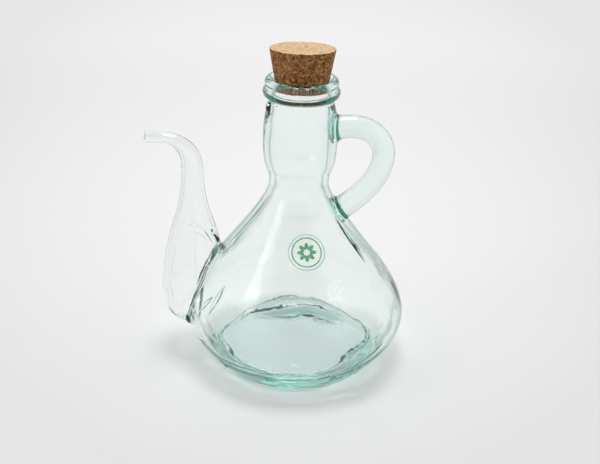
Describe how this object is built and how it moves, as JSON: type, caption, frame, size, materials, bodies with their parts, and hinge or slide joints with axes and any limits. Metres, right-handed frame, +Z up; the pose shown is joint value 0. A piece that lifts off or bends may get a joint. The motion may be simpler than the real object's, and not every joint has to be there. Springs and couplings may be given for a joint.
{
  "type": "glass bottle with handle",
  "caption": "Blown glass oil cruet with a tapered cork, a round belly, a side spout drawn up from a teardrop bulb, and a looped rod handle.",
  "frame": {"origin": "middle of the foot, on the surface that the bottle stands on", "axes": "+Z up along the neck, -X towards the spout, +X towards the handle"},
  "size_m": [0.1523, 0.1304, 0.1854],
  "materials": {
    "glass": "clear pale green, thick, hand-blown",
    "cork": "matt cork with dark pores",
    "film": "clear film with pale green print"
  },
  "bodies": {
    "root": {"bottle": "glass", "cork": "cork", "label": "film"}
  },
  "joints": []
}
